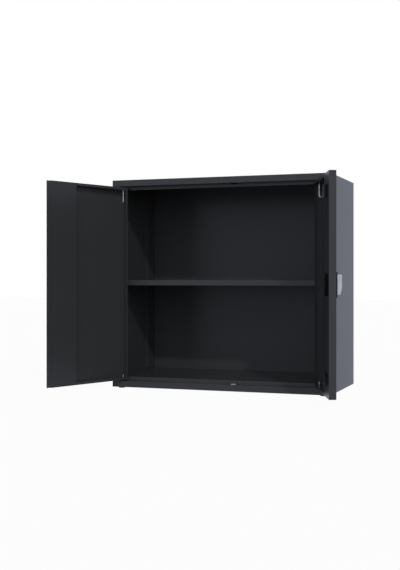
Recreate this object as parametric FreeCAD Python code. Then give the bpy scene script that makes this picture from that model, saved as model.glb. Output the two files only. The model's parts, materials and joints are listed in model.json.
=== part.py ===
import FreeCAD, Part
import math
import os

# Two-door steel office cabinet, in millimetres. +Z is up, the front faces -Y, and the origin is on the
# floor under the middle of the carcass. The doors are drawn shut and then swung open to their stops.

# Carcass
width = 800.0
depth = 400.0
carcass_height = 746.0
sheet = 1.0
bend = 0.8                  # inside radius of every fold
fit_gap = 0.2               # between sheets that meet inside the carcass
fascia_height = 23.0
recess = 25.5               # front plane to the stop lips behind the doors
upper_stop = 12.0           # stop lip hanging below the upper return
floor_rise = 13.0           # floor above the lower return
stile_margin = 2.0          # stile box deeper than the recess
stile_hem = 12.0
rear_flange = 15.0
floor_hem = 20.0
bottom_flange = 40.0        # under the lower fascia
side_bottom_flange = 50.0

# Feet
foot_height = 4.0
foot_radius = 12.0
foot_chamfer = 1.2
foot_stem_radius = 4.0
foot_stem_height = 7.0
foot_side_inset = 28.0
foot_front_inset = 20.0
foot_rear_inset = 22.0

# Shelf and the slotted strips that carry it
strip_width = 14.0          # face with the slots
strip_slope = 5.0           # run of a sloping side
strip_foot = 7.0
strip_depth = 3.2
strip_lift = 6.0            # strips above the floor
slot_length = 22.0
slot_width = 5.0
slot_pitch = 50.0
first_slot = 90.0           # above the floor
shelf_slot = 5              # slot that carries the shelf, counted from the lowest
front_slot_inset = 75.0
rear_slot_inset = 75.0
shelf_lip = 20.0
shelf_hem = 12.0
shelf_setback = 45.0        # behind the front plane
shelf_play = 1.5            # to the strips and the back
clip_sheet = 1.5
clip_reach = 16.0
clip_width = 20.0
clip_rise = 20.0            # seat above the foot of its slot
clip_tongue = 14.0          # height of the tongue
clip_hook_drop = 5.0
clip_play = 0.3             # tongue in its slot, and hook behind it

# Doors
door_sheet = 1.0
door_thickness = 22.5
door_gap = 4.5              # to the returns above and below
door_lip = 9.0
meeting_gap = 3.0           # between the two doors
open_angle = 110.0
pivot_inset = 39.0          # pivot from the carcass side
pivot_setback = 7.0         # pivot behind the front plane
hinge_overhang = 7.0        # pivot to the door's hinge edge
stop_clearance = 0.3
stiffener_width = 117.0
stiffener_foot = 12.0
stiffener_edge = 10.0
meeting_hold = 20.0         # part of the meeting strip that lies on the left leaf
meeting_joggle = 0.6        # rest of the strip, off the back of the right leaf
meeting_clearance = 2.0     # tip of the strip to the lock case

# Hinge pins and bushes
pin_radius = 3.0
running_clearance = 0.05
bush_stem_radius = 4.5
bush_collar_radius = 6.0
bush_tail = 1.5             # stem beyond the return
bush_clearance = 0.3        # collar to the door
pin_engagement = 5.0        # pin tip above the upper return
pin_drop = 52.0             # bent tail below the door's top
pin_tail_clearance = 0.5    # bent tail to the door's sheet
pin_foot = 1.0              # straight end of the tail
pin_chamfer = 1.0
pin_lug_drop = 28.0         # guide lug below the door's top
pin_lug_reach = 7.0         # guide lug past the pivot
pivot_pin_rise = 16.5       # lower pin above the door's bottom
pivot_collar_radius = 4.5
pivot_collar_height = 1.5

# Rubber buffers
buffer_radius = 3.0
buffer_from_middle = 90.0
buffer_clearance = 0.3

# Lock: pinion and rods
lock_inset = 54.0           # handle axis from the door's leading edge
gear_module = 1.0
gear_teeth = 18
pressure_angle = 20.0
gear_backlash = 0.3
gear_root_clearance = 0.25  # times the module
gear_width = 5.0
rack_backing = 6.25
rack_contact = 6.5          # half of the stretch in mesh
rod_width = 12.0
rod_thickness = 4.0
rod_depth = 13.5            # middle of the rods behind the front plane
rod_chamfer = 2.0
rod_shy = 0.5               # drawn rod tip below the door's edge
rod_space = 2.0             # between the two rods
slot_play = 0.4             # rod in the door's slots
guide_play = 0.15           # rod in its guides

# Lock: keepers, guides and case
keeper_length = 22.0
keeper_width = 11.0
keeper_height = 2.5
keeper_play = 0.8
keeper_wall = 1.2
keeper_tail = 1.5
guide_inset = 58.0          # guide middle from the door's end
guide_length = 36.0
guide_height = 38.0
guide_plate = 1.5
guide_wall = 2.0
guide_corner = 3.0
guide_screw_inset = 5.0
case_length = 70.0
case_height = 68.0
case_plate = 1.5
case_skin = 0.6             # behind the spindle's bearing
case_corner = 4.0
case_edge = 0.8
rail_thickness = 5.0
rail_height = 50.0
rail_play = 0.2
window_play = 1.0
boss_radius = 6.0
case_screw_inset = 8.0
screw_head_radius = 3.5
screw_head_height = 1.2
screw_shank_radius = 1.75
screw_tip = 3.0             # shank past the sheet
screw_drive_width = 1.0
screw_drive_depth = 0.7

# Lock: handle
plate_length = 80.0
plate_width = 28.0
plate_height = 9.0
plate_corner = 9.0
plate_edge = 2.0
handle_gap = 0.3
handle_length = 63.0
handle_width = 22.0
handle_height = 13.7
handle_taper_length = 24.0
handle_taper = 4.5
handle_corner = 6.0
handle_edge = 1.5
spindle_radius = 5.0
spindle_square = 7.0
spindle_grip = 6.0          # square end inside the handle
spindle_collar = 2.0        # round part past the front plane
journal_radius = 3.0
square_play = 0.05
cylinder_radius = 6.5
cylinder_length = 6.5
cylinder_proud = 0.3
keyway_width = 1.4
keyway_length = 8.0
keyway_depth = 4.0

# Planes and axes that the pieces share
half = width / 2
front = -depth / 2
rear = depth / 2
base = foot_height
top = base + carcass_height
upper_return = top - fascia_height
lower_return = base + fascia_height
floor_level = lower_return + floor_rise
stop_plane = front + recess
wall = half - sheet
stile_depth = recess + stile_margin
stop_reach = pivot_setback * math.tan(math.radians(open_angle / 2))
swing_radius = max(stop_reach, math.hypot(hinge_overhang, pivot_setback))
stile_width = pivot_inset - swing_radius - stop_clearance

door_top = upper_return - door_gap
door_bottom = lower_return + door_gap
door_back = front + door_thickness
lead_x = meeting_gap / 2
pivot_x = half - pivot_inset
pivot_y = front + pivot_setback
hinge_x = pivot_x + hinge_overhang

lock_x = lead_x + lock_inset
lock_z = (door_top + door_bottom) / 2
rod_y = front + rod_depth
pitch_radius = gear_module * gear_teeth / 2
rod_throw = pitch_radius * math.pi / 2
rack_back = pitch_radius + gear_module * (1 + gear_root_clearance) + rack_backing
rail_inside = rack_back + rail_play
case_back = door_back + case_plate
pinion_back = rod_y + gear_width / 2
jog_level = rack_contact + rod_throw + rod_space

back_half = wall - bend - fit_gap
back_front = rear - 2 * sheet
strip_face = wall - strip_depth
slot_foot = floor_level + first_slot + shelf_slot * slot_pitch - slot_length / 2
seat_level = slot_foot + clip_rise
slot_count = 1 + int((door_top - floor_level - 2 * first_slot) / slot_pitch)
shelf_rear = back_front - shelf_play

X = FreeCAD.Vector(1, 0, 0)
Y = FreeCAD.Vector(0, 1, 0)
Z = FreeCAD.Vector(0, 0, 1)
CUT = 5.0                   # how far a cutting solid runs past the face that it opens
PARALLEL_ANGLE = 5.0        # an edge this near to an axis, in degrees, runs along it


def point(x, y, z):
    return FreeCAD.Vector(x, y, z)


def in_plan(z):
    """Puts a profile drawn in x and y at height z."""
    return lambda a, b: point(a, b, z)


def in_side(x):
    """Puts a profile drawn in y and z at station x."""
    return lambda a, b: point(x, a, b)


def in_front(y):
    """Puts a profile drawn in x and z at depth y."""
    return lambda a, b: point(a, y, b)


def box(x0, x1, y0, y1, z0, z1):
    return Part.makeBox(x1 - x0, y1 - y0, z1 - z0, point(x0, y0, z0))


def rod_along(axis, radius, start, length):
    return Part.makeCylinder(radius, length, start, axis)


def fuse(first, *others):
    return first.multiFuse(list(others)).removeSplitter()


def mirrored(shape):
    return shape.mirror(point(0, 0, 0), X)


def pair(shape):
    return Part.makeCompound([shape, mirrored(shape)])


def unit(a, b):
    length = math.hypot(b[0] - a[0], b[1] - a[1])
    return (b[0] - a[0]) / length, (b[1] - a[1]) / length


def moved(start, direction, distance):
    return start[0] + direction[0] * distance, start[1] + direction[1] * distance


def offset_left(points, distance):
    """The same line of points, shifted to its left."""
    headings = [unit(a, b) for a, b in zip(points, points[1:])]
    normals = [(-v, u) for u, v in headings]
    shifted = [moved(points[0], normals[0], distance)]
    for corner, first, second in zip(points[1:-1], normals, normals[1:]):
        share = distance / (1 + first[0] * second[0] + first[1] * second[1])
        shifted.append(moved(corner, (first[0] + second[0], first[1] + second[1]), share))
    shifted.append(moved(points[-1], normals[-1], distance))
    return shifted


def rounded_chain(points, radii, lift):
    """Edges along points, each inner corner rounded by its own radius."""
    edges = []
    start = points[0]
    for before, corner, after, radius in zip(points, points[1:], points[2:], radii):
        back = unit(corner, before)
        ahead = unit(corner, after)
        half_angle = math.acos(back[0] * ahead[0] + back[1] * ahead[1]) / 2
        reach = radius / math.tan(half_angle)
        bisector = unit((0, 0), (back[0] + ahead[0], back[1] + ahead[1]))
        first = moved(corner, back, reach)
        middle = moved(corner, bisector, radius / math.sin(half_angle) - radius)
        last = moved(corner, ahead, reach)
        edges.append(Part.makeLine(lift(*start), lift(*first)))
        edges.append(Part.Arc(lift(*first), lift(*middle), lift(*last)).toShape())
        start = last
    edges.append(Part.makeLine(lift(*start), lift(*points[-1])))
    return edges


def folded(points, lift, sweep, thickness=sheet):
    """Folded sheet: its outer face follows points, the sheet lies to their left and sweep is its length."""
    outer_radii = []
    inner_radii = []
    for a, b, c in zip(points, points[1:], points[2:]):
        p = unit(a, b)
        q = unit(b, c)
        turns_left = p[0] * q[1] - p[1] * q[0] > 0
        outer_radii.append(bend + thickness if turns_left else bend)
        inner_radii.append(bend if turns_left else bend + thickness)
    inside = offset_left(points, thickness)
    edges = rounded_chain(points, outer_radii, lift)
    edges.append(Part.makeLine(lift(*points[-1]), lift(*inside[-1])))
    edges += rounded_chain(inside[::-1], inner_radii[::-1], lift)
    edges.append(Part.makeLine(lift(*inside[0]), lift(*points[0])))
    return Part.Face(Part.Wire(edges)).extrude(sweep)


def prism(points, lift, sweep):
    corners = [lift(*p) for p in points]
    return Part.Face(Part.makePolygon(corners + corners[:1])).extrude(sweep)


def edges_where(shape, test):
    """Straight edges of a shape whose middle and heading pass a test."""
    chosen = []
    for edge in shape.Edges:
        ends = [vertex.Point for vertex in edge.Vertexes]
        if len(ends) == 2 and test((ends[0] + ends[1]) / 2, (ends[1] - ends[0]).normalize()):
            chosen.append(edge)
    return chosen


def along(heading, axis):
    return abs(heading.dot(axis)) > math.cos(math.radians(PARALLEL_ANGLE))


def rounded_block(x0, x1, y0, y1, z0, z1, corner, axis):
    """Block whose four edges along one axis are rounded."""
    block = box(x0, x1, y0, y1, z0, z1)
    return block.makeFillet(corner, edges_where(block, lambda middle, heading: along(heading, axis)))


def stadium(middle, length, breadth, z0, z1):
    """Upright prism with round ends, long in x."""
    straight = (length - breadth) / 2
    radius = breadth / 2
    left = middle.x - straight
    right = middle.x + straight
    body = box(left, right, middle.y - radius, middle.y + radius, z0, z1)
    ends = [rod_along(Z, radius, point(x, middle.y, z0), z1 - z0) for x in (left, right)]
    return fuse(body, *ends)


# Carcass

def side_panel():
    """Left side wall with its stile box, rear flange and bottom flange."""
    rear_part = [(-half + rear_flange, rear), (-half, rear)]
    stile_x = -half + stile_width
    stile_back = front + stile_depth
    stile = [(-half, front), (stile_x, front), (stile_x, stile_back), (stile_x - stile_hem, stile_back)]
    plain = rear_part + [(-half, front + sheet)]
    lower = folded(plain, in_plan(base), Z * (lower_return - base))
    middle = folded(rear_part + stile, in_plan(lower_return), Z * (upper_return - lower_return))
    upper = folded(plain, in_plan(upper_return), Z * (top - sheet - upper_return))
    flange_front = front + bottom_flange + fit_gap
    flange_rear = back_front - fit_gap
    flange = box(-half, -half + side_bottom_flange, flange_front, flange_rear, base, base + sheet)
    return fuse(lower, middle, upper, flange).cut(foot_hole(-1, rear - foot_rear_inset))


def foot_hole(side, y):
    x = side * (half - foot_side_inset)
    return rod_along(Z, foot_stem_radius + fit_gap / 2, point(x, y, base - CUT), sheet + 2 * CUT)


def both_sides(cutter):
    return [cutter, mirrored(cutter)]


def top_panel():
    """Top sheet, fascia, return and stop lip, with room at the ends for the side walls and stiles."""
    stop_bottom = upper_return - upper_stop
    line = [(rear, top - rear_flange), (rear, top), (front, top), (front, upper_return)]
    line += [(stop_plane, upper_return), (stop_plane, stop_bottom)]
    panel = folded(line, in_side(-half), X * width)
    below = top - sheet
    beyond = half + CUT
    wall_room = box(wall - fit_gap, beyond, front + sheet, rear + CUT, stop_bottom - CUT, below)
    stile_x = half - stile_width - fit_gap
    stile_room = box(stile_x, beyond, front + sheet, stop_plane + CUT, stop_bottom - CUT, upper_return)
    flange_x = half - rear_flange - fit_gap
    flange_low = top - rear_flange - CUT
    flange_room = box(flange_x, beyond, rear - sheet - bend, rear + CUT, flange_low, below)
    holes = both_sides(wall_room) + both_sides(stile_room) + both_sides(flange_room)
    holes += both_sides(bush_hole(upper_return)) + [keeper_hole(upper_return)]
    return panel.cut(holes)


def bottom_panel():
    """Floor, stop lip, return, lower fascia and its bottom flange in one sheet."""
    floor_rear = back_front - fit_gap
    line = [(floor_rear, floor_level - floor_hem), (floor_rear, floor_level), (stop_plane, floor_level)]
    line += [(stop_plane, lower_return), (front, lower_return), (front, base), (front + bottom_flange, base)]
    panel = folded(line, in_side(-half), X * width)
    beyond = half + CUT
    above = floor_level + CUT
    wall_room = box(wall - fit_gap, beyond, front + sheet, rear + CUT, base - CUT, above)
    stile_x = half - stile_width - fit_gap
    stile_back = front + stile_depth + fit_gap
    stile_room = box(stile_x, beyond, front + sheet, stile_back, lower_return, above)
    holes = both_sides(wall_room) + both_sides(stile_room)
    holes += both_sides(bush_hole(lower_return - sheet)) + [keeper_hole(lower_return - sheet)]
    holes += both_sides(foot_hole(1, front + foot_front_inset))
    return panel.cut(holes)


def back_panel():
    low = base + sheet + fit_gap
    high = top - sheet - bend - fit_gap
    return box(-back_half, back_half, back_front, rear - sheet, low, high)


def slot_level(number):
    """Middle of a slot, counted from the lowest."""
    return floor_level + first_slot + number * slot_pitch


def slotted_strip(y):
    """Left-hand strip: a shallow hat section from floor to top, with a row of slots in its face."""
    low = floor_level + strip_lift
    high = top - sheet - fit_gap
    face_half = strip_width / 2
    slope_half = face_half + strip_slope
    foot_half = slope_half + strip_foot
    foot_x = -wall + sheet
    line = [(foot_x, y - foot_half), (foot_x, y - slope_half), (-strip_face, y - face_half)]
    line += [(-strip_face, y + face_half), (foot_x, y + slope_half), (foot_x, y + foot_half)]
    channel = folded(line, in_plan(low), Z * (high - low))
    slots = []
    for number in range(slot_count):
        foot = slot_level(number) - slot_length / 2
        side = slot_width / 2
        slots.append(box(-wall, -strip_face + CUT, y - side, y + side, foot, foot + slot_length))
    return channel.cut(slots)


def shelf():
    """Loose shelf: front and rear lips with hems under them."""
    shelf_top = seat_level + sheet
    lip_bottom = shelf_top - shelf_lip
    shelf_front = front + shelf_setback
    line = [(shelf_rear - shelf_hem, lip_bottom), (shelf_rear, lip_bottom), (shelf_rear, shelf_top)]
    line += [(shelf_front, shelf_top), (shelf_front, lip_bottom), (shelf_front + shelf_hem, lip_bottom)]
    reach = strip_face - shelf_play
    return folded(line, in_side(-reach), X * (2 * reach))


def shelf_clip(y):
    """Right-hand clip: a hooked tongue in the strip's slot, a back plate and the seat under the shelf."""
    ahead = y - slot_width / 2 + clip_play
    behind = y + slot_width / 2 - clip_play
    hook_x = strip_face + sheet + clip_play
    hook_end = wall - clip_play
    tongue = box(strip_face, hook_end, ahead, behind, slot_foot, slot_foot + clip_tongue)
    hook = box(hook_x, hook_end, ahead, behind, slot_foot - clip_hook_drop, slot_foot + clip_tongue)
    line = [(strip_face, slot_foot), (strip_face, seat_level), (strip_face - clip_reach, seat_level)]
    angle = folded(line, in_front(y + clip_width / 2), Y * -clip_width, clip_sheet)
    return fuse(angle, tongue, hook)


def shelf_clips():
    clips = [shelf_clip(front + front_slot_inset), shelf_clip(rear - rear_slot_inset)]
    return Part.makeCompound(clips + [mirrored(clip) for clip in clips])


def foot(y):
    """Glide: a turned disc with a chamfered sole and a stem."""
    line = [(0, 0), (foot_radius - foot_chamfer, 0), (foot_radius, foot_chamfer), (foot_radius, foot_height)]
    line += [(foot_stem_radius, foot_height), (foot_stem_radius, foot_height + foot_stem_height)]
    line += [(0, foot_height + foot_stem_height)]
    corners = [point(radius, 0, z) for radius, z in line]
    turned = Part.Face(Part.makePolygon(corners + corners[:1])).revolve(point(0, 0, 0), Z, 360)
    turned.translate(point(half - foot_side_inset, y, 0))
    return turned


def feet():
    glides = [foot(front + foot_front_inset), foot(rear - foot_rear_inset)]
    return Part.makeCompound(glides + [mirrored(glide) for glide in glides])


def bush_hole(level):
    radius = bush_stem_radius + fit_gap / 2
    return rod_along(Z, radius, point(pivot_x, pivot_y, level - CUT), sheet + 2 * CUT)


def hinge_bush(face_level, outward):
    """Flanged bush on a return: the collar stands off its face, the stem goes through it."""
    seat = point(pivot_x, pivot_y, face_level)
    collar = rod_along(Z * outward, bush_collar_radius, seat, door_gap - bush_clearance)
    stem = rod_along(Z * -outward, bush_stem_radius, seat, sheet + bush_tail)
    bore_half = door_gap + sheet + bush_tail + CUT
    bore = rod_along(Z, pin_radius + running_clearance, seat - Z * bore_half, 2 * bore_half)
    return fuse(collar, stem).cut(bore)


def keeper_middle():
    return point(lock_x, rod_y, 0)


def keeper_nose():
    return rod_width + 2 * (keeper_play + keeper_wall), rod_thickness + 2 * (keeper_play + keeper_wall)


def keeper_hole(level):
    length, breadth = keeper_nose()
    return stadium(keeper_middle(), length + fit_gap, breadth + fit_gap, level - CUT, level + sheet + CUT)


def keeper(face_level, outward):
    """Keeper on a return: a flat round-ended collar, a nose through the return and the rod's slot."""
    collar = stadium(keeper_middle(), keeper_length, keeper_width, 0, keeper_height)
    length, breadth = keeper_nose()
    nose = stadium(keeper_middle(), length, breadth, -sheet - keeper_tail, 0)
    slot_x = rod_width / 2 + keeper_play
    slot_y = rod_thickness / 2 + keeper_play
    opening = box(lock_x - slot_x, lock_x + slot_x, rod_y - slot_y, rod_y + slot_y, -CUT, CUT)
    piece = fuse(collar, nose).cut(opening)
    if outward < 0:
        piece = piece.mirror(point(0, 0, 0), Z)
    piece.translate(Z * face_level)
    return piece


def door_buffers():
    """Rubber buffers on both stop lips, in line with the doors' lips."""
    thickness = recess - door_thickness - buffer_clearance
    levels = (door_top - door_lip / 2, door_bottom + door_lip / 2)
    start = [point(buffer_from_middle, stop_plane, z) for z in levels]
    right = [rod_along(-Y, buffer_radius, place, thickness) for place in start]
    return Part.makeCompound(right + [mirrored(piece) for piece in right])


# Doors, drawn for the right side

def door_pan():
    """Folded pan: outer sheet, four returns and the lips, open where the stiffener lies."""
    on_front = lambda middle, heading: abs(middle.y - front) < fit_gap or along(heading, Y)
    block = box(lead_x, hinge_x, front, door_back, door_bottom, door_top)
    block = block.makeFillet(bend + door_sheet, edges_where(block, on_front))
    low = door_bottom + door_sheet
    high = door_top - door_sheet
    behind_lips = door_back - door_sheet
    cavity = box(lead_x + door_sheet, hinge_x - door_sheet, front + door_sheet, behind_lips, low, high)
    mouth_low = door_bottom + door_lip
    mouth_high = door_top - door_lip
    lip_front = behind_lips - CUT
    lip_back = door_back + CUT
    mouth = box(lead_x + door_sheet, hinge_x - door_lip, lip_front, lip_back, mouth_low, mouth_high)
    beside = lead_x + stiffener_width + fit_gap
    channel = box(lead_x + door_sheet, beside, lip_front, lip_back, low, high)
    return block.cut([cavity, mouth, channel])


def door_leaf():
    """Pan with the hinge pin's guide lug and the holes for both pins."""
    lug_level = door_top - pin_lug_drop
    lug_x = pivot_x - pin_lug_reach
    lug_y = pivot_y + pin_lug_reach
    lug = box(lug_x, hinge_x - door_sheet, front + door_sheet, lug_y, lug_level, lug_level + door_sheet)
    pin_hole = rod_along(Z, pin_radius + running_clearance, point(pivot_x, pivot_y, 0), top)
    return fuse(door_pan(), lug).cut(pin_hole)


def lock_door_leaf():
    """Right leaf, with the rods' slots and the spindle's hole."""
    across = rod_width / 2 + slot_play
    ahead = rod_y - rod_thickness / 2 - slot_play
    behind = rod_y + rod_thickness / 2 + slot_play
    rod_slots = []
    for z in (door_bottom, door_top):
        rod_slots.append(box(lock_x - across, lock_x + across, ahead, behind, z - CUT, z + CUT))
    spindle_hole = rod_along(Y, spindle_radius + slot_play, point(lock_x, front - CUT, lock_z), 2 * CUT)
    return door_leaf().cut(rod_slots + [spindle_hole])


def door_stiffener():
    """Channel down the leading edge: edge flange, face, web and a foot on the outer sheet."""
    edge_x = lead_x + door_sheet + fit_gap
    web_x = lead_x + stiffener_width
    foot_y = front + 2 * door_sheet
    low = door_bottom + door_sheet + fit_gap
    high = door_top - door_sheet - fit_gap
    line = [(web_x + stiffener_foot, foot_y), (web_x, foot_y), (web_x, door_back), (edge_x, door_back)]
    line += [(edge_x, door_back - stiffener_edge)]
    return folded(line, in_plan(low), Z * (high - low), door_sheet)


def meeting_strip():
    """Joggled strip down the left leaf's leading edge, which the shut right leaf holds in."""
    low = door_bottom + door_sheet + fit_gap
    high = door_top - door_sheet - fit_gap
    tip_x = max(case_length, guide_length) / 2 + meeting_clearance - lock_x
    tip_y = door_back + meeting_joggle
    line = [(tip_x, tip_y), (-lead_x, tip_y), (lead_x, door_back), (lead_x + meeting_hold, door_back)]
    return folded(line, in_plan(low), Z * (high - low), door_sheet)


def guide_levels():
    return door_top - guide_inset, door_bottom + guide_inset


def guide_nose_half():
    """Half sizes of a rod guide's nose, across and along the rod."""
    return rod_width / 2 + guide_play + guide_wall, guide_height / 2 - guide_wall


def lock_door_stiffener():
    """Right channel, with windows for the lock and the rod guides."""
    nose_x, nose_z = guide_nose_half()
    back = door_back + CUT
    ahead = door_back - door_sheet - CUT
    case_x = rail_inside + rail_thickness + window_play
    case_z = rail_height / 2 + window_play
    windows = [box(lock_x - case_x, lock_x + case_x, ahead, back, lock_z - case_z, lock_z + case_z)]
    for z in guide_levels():
        reach_x = nose_x + window_play
        reach_z = nose_z + window_play
        windows.append(box(lock_x - reach_x, lock_x + reach_x, ahead, back, z - reach_z, z + reach_z))
    places = case_screw_places() + guide_screw_places()
    holes = [rod_along(Y, screw_shank_radius, place - Y * CUT, 2 * CUT) for place in places]
    return door_stiffener().cut(windows + holes)


def hinge_pin():
    """Bent pin: a chamfered leg up through the door's top, and a short tail to pull it by."""
    tip = upper_return + sheet + pin_engagement
    tail_level = door_top - pin_drop
    tail = pivot_setback - door_sheet - pin_tail_clearance
    turn = tail - pin_foot
    slant = turn * math.sqrt(0.5)
    foot_end = point(pivot_x, pivot_y - tail, tail_level)
    bend_start = point(pivot_x, pivot_y - turn, tail_level)
    bend_middle = point(pivot_x, pivot_y - turn + slant, tail_level + turn - slant)
    bend_end = point(pivot_x, pivot_y, tail_level + turn)
    leg_end = point(pivot_x, pivot_y, tip - pin_chamfer)
    path = Part.Wire([
        Part.makeLine(foot_end, bend_start),
        Part.Arc(bend_start, bend_middle, bend_end).toShape(),
        Part.makeLine(bend_end, leg_end),
    ])
    section = Part.Wire(Part.makeCircle(pin_radius, foot_end, Y))
    stem = path.makePipeShell([section], True, False)
    cone = Part.makeCone(pin_radius, pin_radius - pin_chamfer, pin_chamfer, leg_end)
    return fuse(stem, cone)


def pivot_pin():
    """Fixed pin at the foot of the hinge, with a collar inside the door."""
    low = lower_return - sheet - bush_tail
    high = door_bottom + pivot_pin_rise
    pin = rod_along(Z, pin_radius, point(pivot_x, pivot_y, low), high - low)
    collar_seat = point(pivot_x, pivot_y, door_bottom + door_sheet)
    collar = rod_along(Z, pivot_collar_radius, collar_seat, pivot_collar_height)
    return fuse(pin, collar)


# Lock, drawn with the right door shut

def handle_base_plate():
    half_x = plate_width / 2
    half_z = plate_length / 2
    face = front - plate_height
    plate = rounded_block(
        lock_x - half_x, lock_x + half_x, face, front, lock_z - half_z, lock_z + half_z, plate_corner, Y)
    rim = [edge for edge in plate.Edges if abs(edge.BoundBox.YMax - face) < fit_gap]
    plate = plate.makeFillet(plate_edge, rim)
    bore_start = point(lock_x, face - CUT, lock_z)
    bore = rod_along(Y, spindle_radius + running_clearance, bore_start, plate_height + 2 * CUT)
    return plate.cut(bore)


def handle():
    """Wing grip: thinned towards its lower end, with the cylinder's bore and a square socket."""
    near = front - plate_height - handle_gap
    far = near - handle_height
    half_x = handle_width / 2
    half_z = handle_length / 2
    low = lock_z - half_z
    high = lock_z + half_z
    side = [(near, low), (near, high), (far, high)]
    side += [(far, low + handle_taper_length), (far + handle_taper, low)]
    grip = prism(side, in_side(lock_x - half_x), X * handle_width)
    outline = rounded_block(
        lock_x - half_x, lock_x + half_x, far - CUT, near + CUT, low, high, handle_corner, Y)
    grip = grip.common(outline)
    deepest = far + handle_taper + fit_gap
    rim = [edge for edge in grip.Edges if edge.BoundBox.YMax < deepest and rim_edge(edge)]
    grip = grip.makeFillet(handle_edge, rim)
    bore_depth = cylinder_length - cylinder_proud + fit_gap
    bore_start = point(lock_x, far - CUT, lock_z)
    bore = rod_along(Y, cylinder_radius + running_clearance, bore_start, CUT + bore_depth)
    socket_half = spindle_square / 2 + square_play
    socket_top = near - spindle_grip - square_play
    socket = box(
        lock_x - socket_half, lock_x + socket_half, socket_top, near + CUT,
        lock_z - socket_half, lock_z + socket_half)
    return grip.cut([bore, socket])


def rim_edge(edge):
    """True for the edges round the grip's face, and not for the crease across it."""
    bounds = edge.BoundBox
    crosses = bounds.XLength > handle_width - fit_gap
    return not (crosses and abs(bounds.ZMin - (lock_z - handle_length / 2 + handle_taper_length)) < fit_gap)


def lock_cylinder():
    """Lock plug with its keyway."""
    face = front - plate_height - handle_gap - handle_height - cylinder_proud
    plug = rod_along(Y, cylinder_radius, point(lock_x, face, lock_z), cylinder_length)
    keyway = box(
        lock_x - keyway_width / 2, lock_x + keyway_width / 2, face - CUT, face + keyway_depth,
        lock_z - keyway_length / 2, lock_z + keyway_length / 2)
    return plug.cut(keyway)


def handle_spindle():
    """Shaft: square in the handle and the pinion, round in the base plate, with a journal in the case."""
    plate_face = front - plate_height - handle_gap
    square_half = spindle_square / 2
    square = box(
        lock_x - square_half, lock_x + square_half, plate_face - spindle_grip, pinion_back,
        lock_z - square_half, lock_z + square_half)
    collar_end = front + spindle_collar
    collar = rod_along(Y, spindle_radius, point(lock_x, plate_face, lock_z), collar_end - plate_face)
    journal_end = case_back - case_skin - fit_gap
    journal = rod_along(Y, journal_radius, point(lock_x, pinion_back, lock_z), journal_end - pinion_back)
    return fuse(square, collar, journal)


def involute_flank(roll_limit, steps=3):
    """Radius and angle of points up an involute from the base circle, at rolls up to roll_limit."""
    base_radius = pitch_radius * math.cos(math.radians(pressure_angle))
    rolls = [roll_limit * step / steps for step in range(steps + 1)]
    return [(base_radius * math.hypot(1, roll), roll - math.atan(roll)) for roll in rolls]


def drive_pinion():
    """Spur pinion with involute teeth, one tooth pointing to each rack, and a square bore."""
    tilt = math.radians(pressure_angle)
    base_radius = pitch_radius * math.cos(tilt)
    tip_radius = pitch_radius + gear_module
    root_radius = pitch_radius - gear_module * (1 + gear_root_clearance)
    flank = involute_flank(math.sqrt((tip_radius / base_radius) ** 2 - 1))
    tooth_half = (math.pi * gear_module - gear_backlash) / (4 * pitch_radius)
    base_half = tooth_half + math.tan(tilt) - tilt
    rising = [(root_radius, -base_half)] + [(radius, angle - base_half) for radius, angle in flank]
    tooth = rising + [(radius, -angle) for radius, angle in rising[::-1]]
    outline = []
    for number in range(gear_teeth):
        turn = 2 * math.pi * number / gear_teeth
        for radius, angle in tooth:
            heading = math.cos(turn + angle), math.sin(turn + angle)
            outline.append(moved((lock_x, lock_z), heading, radius))
    face = rod_y - gear_width / 2
    wheel = prism(outline, in_front(face), Y * gear_width)
    bore_half = spindle_square / 2 + square_play
    bore = box(
        lock_x - bore_half, lock_x + bore_half, face - CUT, face + gear_width + CUT,
        lock_z - bore_half, lock_z + bore_half)
    return wheel.cut(bore)


def rack_line(low, high):
    """Toothed edge from low to high: distances from the handle axis and heights, with a space at the axis."""
    pitch = math.pi * gear_module
    root = pitch_radius + gear_module * (1 + gear_root_clearance)
    crest = pitch_radius - gear_module
    slope = math.tan(math.radians(pressure_angle))
    tooth_half = (pitch - gear_backlash) / 4
    root_half = tooth_half + (root - pitch_radius) * slope
    crest_half = tooth_half - gear_module * slope
    line = []
    first = math.ceil((low + root_half) / pitch - 0.5)
    last = math.floor((high - root_half) / pitch - 0.5)
    for number in range(first, last + 1):
        middle = (number + 0.5) * pitch
        line += [(root, middle - root_half), (crest, middle - crest_half)]
        line += [(crest, middle + crest_half), (root, middle + root_half)]
    return line


def upper_rod():
    """Flat rod: toothed beside the pinion, stepped over to the handle axis, chamfered at its tip."""
    tip = door_top - rod_shy - lock_z
    rack_low = -rack_contact - rod_throw
    step_high = jog_level + rod_width
    half_rod = rod_width / 2
    root = pitch_radius + gear_module * (1 + gear_root_clearance)
    line = [(-rack_back, rack_low), (-rack_back, step_high), (-half_rod, step_high)]
    line += [(-half_rod, tip - rod_chamfer)]
    line += [(-half_rod + rod_chamfer, tip), (half_rod - rod_chamfer, tip), (half_rod, tip - rod_chamfer)]
    line += [(half_rod, jog_level), (-root, jog_level)]
    line += [(-across, z) for across, z in rack_line(rack_low, rack_contact)[::-1]]
    line += [(-root, rack_low)]
    placed = [(lock_x + across, lock_z + z) for across, z in line]
    return prism(placed, in_front(rod_y - rod_thickness / 2), Y * rod_thickness)


def lower_rod():
    return upper_rod().rotated(point(lock_x, 0, lock_z), Y, 180)


def screw_places(half_x, half_z, middle_z):
    return [point(lock_x + i * half_x, door_back, middle_z + j * half_z) for i in (-1, 1) for j in (-1, 1)]


def case_screw_places():
    return screw_places(case_length / 2 - case_screw_inset, case_height / 2 - case_screw_inset, lock_z)


def guide_screw_places():
    half_x = guide_length / 2 - guide_screw_inset
    return [point(lock_x + side * half_x, door_back, z) for z in guide_levels() for side in (-1, 1)]


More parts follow.
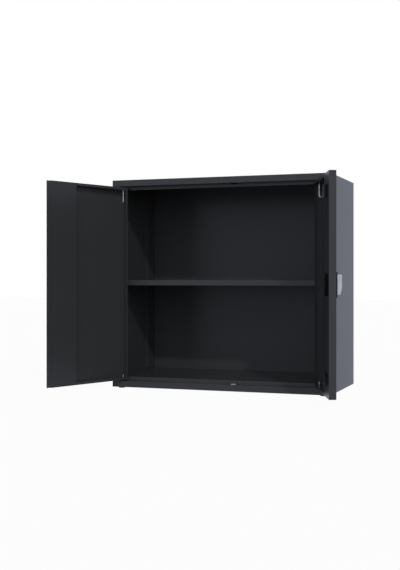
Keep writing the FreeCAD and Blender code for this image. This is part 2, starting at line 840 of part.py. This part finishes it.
def pan_screws(places, stand):
    """Slotted pan-head screws whose heads sit on a face that stands off the door's back."""
    screws = []
    for place in places:
        seat = place + Y * stand
        head = rod_along(Y, screw_head_radius, seat, screw_head_height)
        shank = rod_along(-Y, screw_shank_radius - fit_gap / 2, seat, stand + door_sheet + screw_tip)
        slot_y = seat.y + screw_head_height - screw_drive_depth
        slot = box(
            seat.x - screw_head_radius, seat.x + screw_head_radius, slot_y, slot_y + CUT,
            seat.z - screw_drive_width / 2, seat.z + screw_drive_width / 2)
        screws.append(fuse(head, shank).cut(slot))
    return Part.makeCompound(screws)


def lock_case():
    """Cover on the stiffener: a flat plate, the spindle's bearing boss and the rails behind the racks."""
    half_x = case_length / 2
    half_z = case_height / 2
    plate = rounded_block(
        lock_x - half_x, lock_x + half_x, door_back, case_back,
        lock_z - half_z, lock_z + half_z, case_corner, Y)
    rim = [edge for edge in plate.Edges if abs(edge.BoundBox.YMin - case_back) < fit_gap]
    plate = plate.makeFillet(case_edge, rim)
    boss_start = point(lock_x, pinion_back + fit_gap, lock_z)
    boss = rod_along(Y, boss_radius, boss_start, door_back - boss_start.y)
    bore = rod_along(Y, journal_radius + running_clearance, boss_start, case_back - case_skin - boss_start.y)
    low = lock_z - rail_height / 2
    high = lock_z + rail_height / 2
    rails = []
    for side in (-1, 1):
        edges = sorted((lock_x + side * rail_inside, lock_x + side * (rail_inside + rail_thickness)))
        rails.append(box(*edges, rod_y - rod_thickness / 2, door_back, low, high))
    through = case_plate + 2 * CUT
    holes = [rod_along(Y, screw_shank_radius, place - Y * CUT, through) for place in case_screw_places()]
    return fuse(plate, boss, *rails).cut([bore] + holes)


def rod_guide(level):
    """Guide block: a plate on the stiffener and a nose through its window, with the rod's channel."""
    half_x = guide_length / 2
    half_z = guide_height / 2
    face = door_back + guide_plate
    plate = rounded_block(
        lock_x - half_x, lock_x + half_x, door_back, face, level - half_z, level + half_z, guide_corner, Y)
    nose_x, nose_z = guide_nose_half()
    channel_x = rod_width / 2 + guide_play
    channel_y = rod_thickness / 2 + guide_play
    nose_front = rod_y - channel_y - guide_wall
    nose = box(lock_x - nose_x, lock_x + nose_x, nose_front, door_back, level - nose_z, level + nose_z)
    channel = box(
        lock_x - channel_x, lock_x + channel_x, rod_y - channel_y, rod_y + channel_y,
        level - half_z - CUT, level + half_z + CUT)
    through = guide_plate + 2 * CUT
    holes = [rod_along(Y, screw_shank_radius, place - Y * CUT, through) for place in guide_screw_places()]
    return fuse(plate, nose).cut([channel] + holes)


def swung(shape):
    """A right-door piece, opened to the stop."""
    return shape.rotated(point(pivot_x, pivot_y, 0), Z, open_angle)


left_side = side_panel()
front_strip = slotted_strip(front + front_slot_inset)
rear_strip = slotted_strip(rear - rear_slot_inset)
carcass = {
    "left_side_panel": left_side,
    "right_side_panel": mirrored(left_side),
    "left_front_strip": front_strip,
    "left_rear_strip": rear_strip,
    "right_front_strip": mirrored(front_strip),
    "right_rear_strip": mirrored(rear_strip),
    "top_panel": top_panel(),
    "bottom_panel": bottom_panel(),
    "back_panel": back_panel(),
    "shelf": shelf(),
    "shelf_clips": shelf_clips(),
    "feet": feet(),
    "upper_hinge_bushes": pair(hinge_bush(upper_return, -1)),
    "lower_hinge_bushes": pair(hinge_bush(lower_return, 1)),
    "upper_keeper": keeper(upper_return, -1),
    "lower_keeper": keeper(lower_return, 1),
    "door_buffers": door_buffers(),
}

upper_guide_level, lower_guide_level = guide_levels()
right_door = {
    "right_door_leaf": lock_door_leaf(),
    "right_door_stiffener": lock_door_stiffener(),
    "right_hinge_pin": hinge_pin(),
    "right_pivot_pin": pivot_pin(),
    "handle_base_plate": handle_base_plate(),
    "handle": handle(),
    "lock_cylinder": lock_cylinder(),
    "handle_spindle": handle_spindle(),
    "drive_pinion": drive_pinion(),
    "upper_rod": upper_rod(),
    "lower_rod": lower_rod(),
    "lock_case": lock_case(),
    "lock_case_screws": pan_screws(case_screw_places(), case_plate),
    "upper_rod_guide": rod_guide(upper_guide_level),
    "lower_rod_guide": rod_guide(lower_guide_level),
    "rod_guide_screws": pan_screws(guide_screw_places(), guide_plate),
}
left_door = {
    "left_door_leaf": door_leaf(),
    "left_door_stiffener": door_stiffener(),
    "meeting_strip": meeting_strip(),
    "left_hinge_pin": hinge_pin(),
    "left_pivot_pin": pivot_pin(),
}

nodes = dict(carcass)
nodes.update({name: swung(shape) for name, shape in right_door.items()})
nodes.update({name: mirrored(swung(shape)) for name, shape in left_door.items()})

os.makedirs("parts", exist_ok=True)
for name, shape in nodes.items():
    shape.exportStep("parts/" + name + ".step")
print(len(nodes), "nodes; rods travel", round(rod_throw, 3), "mm; stile", round(stile_width, 3), "mm")
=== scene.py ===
import json
import math

import bpy
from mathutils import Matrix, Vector

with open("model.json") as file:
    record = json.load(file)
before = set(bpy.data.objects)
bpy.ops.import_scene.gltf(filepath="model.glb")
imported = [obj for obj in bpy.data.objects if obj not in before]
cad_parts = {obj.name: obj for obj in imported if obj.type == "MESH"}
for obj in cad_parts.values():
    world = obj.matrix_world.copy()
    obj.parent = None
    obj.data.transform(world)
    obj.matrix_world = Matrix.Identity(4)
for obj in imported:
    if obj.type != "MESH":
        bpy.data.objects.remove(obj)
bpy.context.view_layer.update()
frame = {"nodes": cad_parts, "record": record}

# The photograph's frame and the lens fitted to it, in pixels
IMAGE_WIDTH = 400
IMAGE_HEIGHT = 570
FOCAL_LENGTH = 993.0
OPTICAL_CENTRE = (193.75, 276.9)

# Camera: its place in metres from the floor under the middle of the carcass, and its angles in degrees
CAMERA_PLACE = (1.1184, -3.4723, 0.4011)
CAMERA_TILT = 90.0          # up from straight down, so it looks level
CAMERA_TURN = 20.22         # to the left of straight at the front
SENSOR = 36.0               # its longer side, in millimetres

# Lamps: the way to each from the cabinet, its strength, and its width in degrees
LAMPS = {
    "key_light": ((0.452, -0.678, 0.564), 1.27, 2.0),
    "fill_light": ((0.42, -0.87, 0.25), 1.66, 60.0),
    "left_light": ((-0.42, -0.70, 0.58), 0.48, 8.0),
}
LAMP_COLOUR = (0.90, 0.95, 1.0)

# Surroundings, where 1 is white
WHITE = (1.0, 1.0, 1.0)
COOL_WHITE = (0.80, 0.85, 1.0)
AMBIENT = 0.35              # what the surroundings give to matt surfaces
REAR_WHITE = 0.7            # how white they are behind the cabinet, in reflections

# Floor
FLOOR_REACH = 14.0          # metres each way from the middle
FLOOR_GREY = (0.6, 0.6, 0.6)
FLOOR_TONES = (0.97, 1.03)  # darkest and lightest share of that
FLOOR_DRIFT = 3.0           # slow changes of tone, in cells per metre
FLOOR_ROUGHNESS = 0.9
FLOOR_WHITE = 0.96          # share of the floor that shows as plain white
FLOOR_MIRRORED = 0.70       # how white that share is in reflections

# Powder paint, with patterns in cells per metre, sizes in metres, and tones as shares of its colour
CHARCOAL = (0.0310, 0.0312, 0.0316)
PAINT_TONES = (0.97, 1.03)
PAINT_DRIFT = 4.0           # slow changes of tone and gloss
PAINT_ROUGHNESS = (0.245, 0.270)    # where it passes about 0.27 the denoiser draws outlines
PAINT_SHINE = 0.21          # specular level
PEEL = 420.0                # orange peel
PEEL_DEPTH = 0.00003
SPECKLE = 900.0             # grains of the powder
SPECKLE_DEPTH = 0.00001
SPECKLE_TONES = (0.9, 1.0)
WEAR = 60.0                 # patches of wear along edges and folds
WEAR_REACH = 0.0012         # how far from an edge it goes
WEAR_MOST = 0.6             # how much of the paint it takes where it is worst
WORN_TONE = 1.9             # how light worn paint is, as a share of the paint's own tone

# Plated steel, likewise
ZINC = (0.62, 0.60, 0.56)
BRIGHT_STEEL = (0.60, 0.60, 0.62)
NICKEL = (0.63, 0.625, 0.61)
BLACK_STEEL = (0.020, 0.020, 0.022)
METAL_TONES = (0.9, 1.06)
METAL_DRIFT = 40.0
LINES = 1800.0              # fine lines from drawing or brushing, counted across
LINE_DEPTH = 0.00001
LINE_STRENGTH = 0.4         # how much of that relief shows

# Moulded plastic and rubber, likewise
BLACK = (0.004, 0.004, 0.0043)
RUBBER = (0.030, 0.030, 0.031)
PLASTIC_TONES = (0.85, 1.2)
PLASTIC_DRIFT = 30.0
PLASTIC_IOR = 1.3           # refractive index
GRAIN = 1500.0              # texture from the mould
GRAIN_DEPTH = 0.00004

# Stretches of a noise's range that a change is spread over
WIDE = (0.2, 0.8)
MIDDLE = (0.3, 0.7)
NARROW = (0.35, 0.65)

# How well a face's own normal agrees with the one rounded over its edges: on an edge, and away from any
EDGE_MATCH = (0.82, 0.99)
EDGE_SAMPLES = 4            # rays that look for an edge at each point

# Sockets of a colour mixer, which go by number because its other kinds have sockets of the same names
MIX_FACTOR = 0
MIX_FIRST = 6
MIX_SECOND = 7
MIX_RESULT = 2


def shade(colour, share=1.0):
    """A share of a colour, as a colour socket takes it."""
    return (*(channel * share for channel in colour), 1.0)


class Nodes:
    """A node tree, with short ways to add to it."""

    def __init__(self, tree):
        self.tree = tree

    def plug(self, node, name, value):
        """Links a socket to one of a node's inputs, or sets the input to a plain value."""
        if isinstance(value, bpy.types.NodeSocket):
            self.tree.links.new(value, node.inputs[name])
        else:
            node.inputs[name].default_value = value

    def node(self, kind, inputs=None, **settings):
        made = self.tree.nodes.new("ShaderNode" + kind)
        for name, value in settings.items():
            setattr(made, name, value)
        for name, value in (inputs or {}).items():
            self.plug(made, name, value)
        return made

    def between(self, factor, low, high, span=(0.0, 1.0)):
        """A number that goes from low to high as factor goes through its span."""
        start, end = span
        inputs = {"Value": factor, "From Min": start, "From Max": end, "To Min": low, "To Max": high}
        return self.node("MapRange", inputs).outputs["Result"]

    def mix(self, factor, first, second, blend="MIX"):
        """A colour that goes from first to second as factor goes from 0 to 1."""
        inputs = {MIX_FACTOR: factor, MIX_FIRST: first, MIX_SECOND: second}
        return self.node("Mix", inputs, data_type="RGBA", blend_type=blend).outputs[MIX_RESULT]

    def by_ray(self, seen, mirrored, lit):
        """One number for the camera, one in reflections and through glass, and one for giving light."""
        rays = self.node("LightPath").outputs
        either = {0: rays["Is Glossy Ray"], 1: rays["Is Transmission Ray"]}
        through = self.node("Math", either, operation="MAXIMUM").outputs["Value"]
        return self.between(rays["Is Camera Ray"], self.between(through, lit, mirrored), seen)

    def seen_white(self):
        """White for the camera, and the studio's cooler white for what it lights and what mirrors it."""
        seen = self.node("LightPath").outputs["Is Camera Ray"]
        return self.mix(seen, shade(COOL_WHITE), shade(WHITE))


class Shader(Nodes):
    """A new material's nodes, with its Principled shader."""

    def __init__(self, name):
        self.material = bpy.data.materials.new(name)
        self.material.use_nodes = True
        super().__init__(self.material.node_tree)
        self.surface = self.tree.nodes["Principled BSDF"]
        self.place = self.node("TexCoord").outputs["Object"]

    def set(self, **values):
        """Sets or links inputs of the Principled shader, with _ for a blank in a name."""
        for name, value in values.items():
            self.plug(self.surface, name.replace("_", " "), value)

    def noise(self, cells, detail=2.0, squeeze=(1, 1, 1)):
        """Noise of so many cells per metre, which are drawn out along an axis that is squeezed."""
        place = self.node("Mapping", {"Vector": self.place, "Scale": squeeze}).outputs["Vector"]
        return self.node("TexNoise", {"Vector": place, "Scale": cells, "Detail": detail}).outputs["Fac"]

    def vary(self, noise, colour, shares, span=MIDDLE):
        """A colour that goes from its darkest to its lightest share with a noise."""
        darkest, lightest = shares
        factor = self.between(noise, 0.0, 1.0, span)
        return self.mix(factor, shade(colour, darkest), shade(colour, lightest))

    def relief(self, height, depth, strength=0.5, under=None):
        """Bumps that follow a height, on top of any under them."""
        inputs = {"Height": height, "Distance": depth, "Strength": strength}
        if under:
            inputs["Normal"] = under
        return self.node("Bump", inputs).outputs["Normal"]

    def edges(self, reach):
        """1 on edges and folds, and 0 on flat faces further off than reach."""
        flat = self.node("NewGeometry").outputs["Normal"]
        rounded = self.node("Bevel", {"Radius": reach}, samples=EDGE_SAMPLES).outputs["Normal"]
        match = self.node("VectorMath", {0: flat, 1: rounded}, operation="DOT_PRODUCT")
        return self.between(match.outputs["Value"], 1.0, 0.0, EDGE_MATCH)


def powder_coat(name, colour):
    """Semi-gloss powder paint: orange peel, slow changes of tone and gloss, and paler folds."""
    paint = Shader(name)
    drift = paint.noise(PAINT_DRIFT, detail=1.0)
    speckle = paint.noise(SPECKLE)
    body = paint.vary(drift, colour, PAINT_TONES, WIDE)
    grainy = paint.mix(1.0, body, paint.vary(speckle, WHITE, SPECKLE_TONES), "MULTIPLY")
    patches = paint.between(paint.noise(WEAR, detail=4.0), 0.0, WEAR_MOST, NARROW)
    both = {0: paint.edges(WEAR_REACH), 1: patches}
    wear = paint.node("Math", both, operation="MULTIPLY").outputs["Value"]
    peel = paint.relief(paint.noise(PEEL), PEEL_DEPTH)
    paint.set(
        Base_Color=paint.mix(wear, grainy, shade(colour, WORN_TONE)),
        Roughness=paint.between(drift, *PAINT_ROUGHNESS, WIDE),
        Normal=paint.relief(speckle, SPECKLE_DEPTH, under=peel),
        Specular_IOR_Level=PAINT_SHINE,
    )
    return paint.material


def plated(name, colour, roughness, squeeze):
    """Plated steel: slow changes of tone, and fine lines along each axis that is squeezed."""
    metal = Shader(name)
    lines = metal.noise(LINES, squeeze=squeeze)
    metal.set(
        Base_Color=metal.vary(metal.noise(METAL_DRIFT, detail=3.0), colour, METAL_TONES),
        Metallic=1.0,
        Roughness=metal.between(lines, *roughness, MIDDLE),
        Normal=metal.relief(lines, LINE_DEPTH, LINE_STRENGTH),
    )
    return metal.material


def moulded(name, colour, roughness, shine):
    """Moulded plastic or rubber: slow changes of tone, and a fine spark-eroded grain."""
    plastic = Shader(name)
    grain = plastic.noise(GRAIN, detail=3.0)
    plastic.set(
        Base_Color=plastic.vary(plastic.noise(PLASTIC_DRIFT, detail=3.0), colour, PLASTIC_TONES),
        Roughness=plastic.between(grain, *roughness, MIDDLE),
        Normal=plastic.relief(grain, GRAIN_DEPTH),
        Specular_IOR_Level=shine,
        IOR=PLASTIC_IOR,
    )
    return plastic.material


def dress_cabinet():
    """Gives each piece the finish of its slot in the record."""
    finishes = {
        "cabinet_paint": powder_coat("cabinet_paint", CHARCOAL),
        "door_paint": powder_coat("door_paint", CHARCOAL),
        "zinc_steel": plated("zinc_steel", ZINC, roughness=(0.30, 0.42), squeeze=(1, 1, 0.08)),
        "bright_steel": plated("bright_steel", BRIGHT_STEEL, roughness=(0.18, 0.28), squeeze=(1, 1, 0.1)),
        "satin_nickel": plated("satin_nickel", NICKEL, roughness=(0.36, 0.48), squeeze=(0.1, 0.1, 1)),
        "black_steel": plated("black_steel", BLACK_STEEL, roughness=(0.35, 0.5), squeeze=(1, 1, 0.2)),
        "black_plastic": moulded("black_plastic", BLACK, roughness=(0.55, 0.7), shine=0.04),
        "black_rubber": moulded("black_rubber", RUBBER, roughness=(0.50, 0.65), shine=0.20),
    }
    for subpart in frame["record"]["subparts"]:
        for slot in frame["nodes"][subpart["node"]].material_slots:
            slot.material = finishes[subpart["material_slot"]]


def white_world():
    """White surroundings, which fall off behind the cabinet in reflections."""
    world = bpy.data.worlds.new("studio")
    world.use_nodes = True
    studio = Nodes(world.node_tree)
    way = studio.node("TexCoord").outputs["Generated"]
    rear = studio.node("SeparateXYZ", {"Vector": way}).outputs["Y"]
    mirrored = studio.between(rear, 1.0, REAR_WHITE)
    background = studio.tree.nodes["Background"]
    studio.plug(background, "Color", studio.seen_white())
    studio.plug(background, "Strength", studio.by_ray(seen=1.0, mirrored=mirrored, lit=AMBIENT))
    bpy.context.scene.world = world


def pale_floor():
    """Matt grey that shows mostly as plain white, so that the object's shadow on it is faint."""
    pale = Shader("pale_floor")
    pale.set(
        Base_Color=pale.vary(pale.noise(FLOOR_DRIFT, detail=4.0), FLOOR_GREY, FLOOR_TONES),
        Roughness=FLOOR_ROUGHNESS,
    )
    strength = pale.by_ray(seen=1.0, mirrored=FLOOR_MIRRORED, lit=0.0)
    layers = {
        0: pale.by_ray(seen=FLOOR_WHITE, mirrored=FLOOR_WHITE, lit=0.0),
        1: pale.surface.outputs["BSDF"],
        2: pale.node("Emission", {"Color": pale.seen_white(), "Strength": strength}).outputs["Emission"],
    }
    shown = pale.node("MixShader", layers).outputs["Shader"]
    pale.plug(pale.tree.nodes["Material Output"], "Surface", shown)
    return pale.material


def studio_floor():
    """Level square under the feet."""
    reach = FLOOR_REACH
    corners = [(-reach, -reach, 0), (reach, -reach, 0), (reach, reach, 0), (-reach, reach, 0)]
    mesh = bpy.data.meshes.new("floor")
    mesh.from_pydata(corners, [], [(0, 1, 2, 3)])
    mesh.materials.append(pale_floor())
    floor = bpy.data.objects.new("floor", mesh)
    bpy.context.scene.collection.objects.link(floor)


def lamp(name, way, strength, width):
    """Distant lamp, which gloss doesn't mirror: reflections show the white studio alone."""
    bulb = bpy.data.lights.new(name, "SUN")
    bulb.energy = strength
    bulb.angle = math.radians(width)
    bulb.color = LAMP_COLOUR
    light = bpy.data.objects.new(name, bulb)
    light.rotation_euler = (-Vector(way)).to_track_quat("-Z", "Y").to_euler()
    light.visible_glossy = False
    bpy.context.scene.collection.objects.link(light)


def photograph_camera():
    """Level camera where the photograph was taken from, shifted to frame the cabinet as it does."""
    long_side = max(IMAGE_WIDTH, IMAGE_HEIGHT)
    centre_across, centre_down = OPTICAL_CENTRE
    lens = bpy.data.cameras.new("camera")
    lens.sensor_width = SENSOR
    lens.lens = FOCAL_LENGTH * SENSOR / long_side
    lens.shift_x = (IMAGE_WIDTH / 2 - centre_across) / long_side
    lens.shift_y = (centre_down - IMAGE_HEIGHT / 2) / long_side
    camera = bpy.data.objects.new("camera", lens)
    camera.location = CAMERA_PLACE
    camera.rotation_euler = (math.radians(CAMERA_TILT), 0, math.radians(CAMERA_TURN))
    bpy.context.scene.collection.objects.link(camera)
    bpy.context.scene.camera = camera


dress_cabinet()
white_world()
studio_floor()
for name, (way, strength, width) in LAMPS.items():
    lamp(name, way, strength, width)
photograph_camera()
bpy.context.scene.view_settings.view_transform = "Standard"
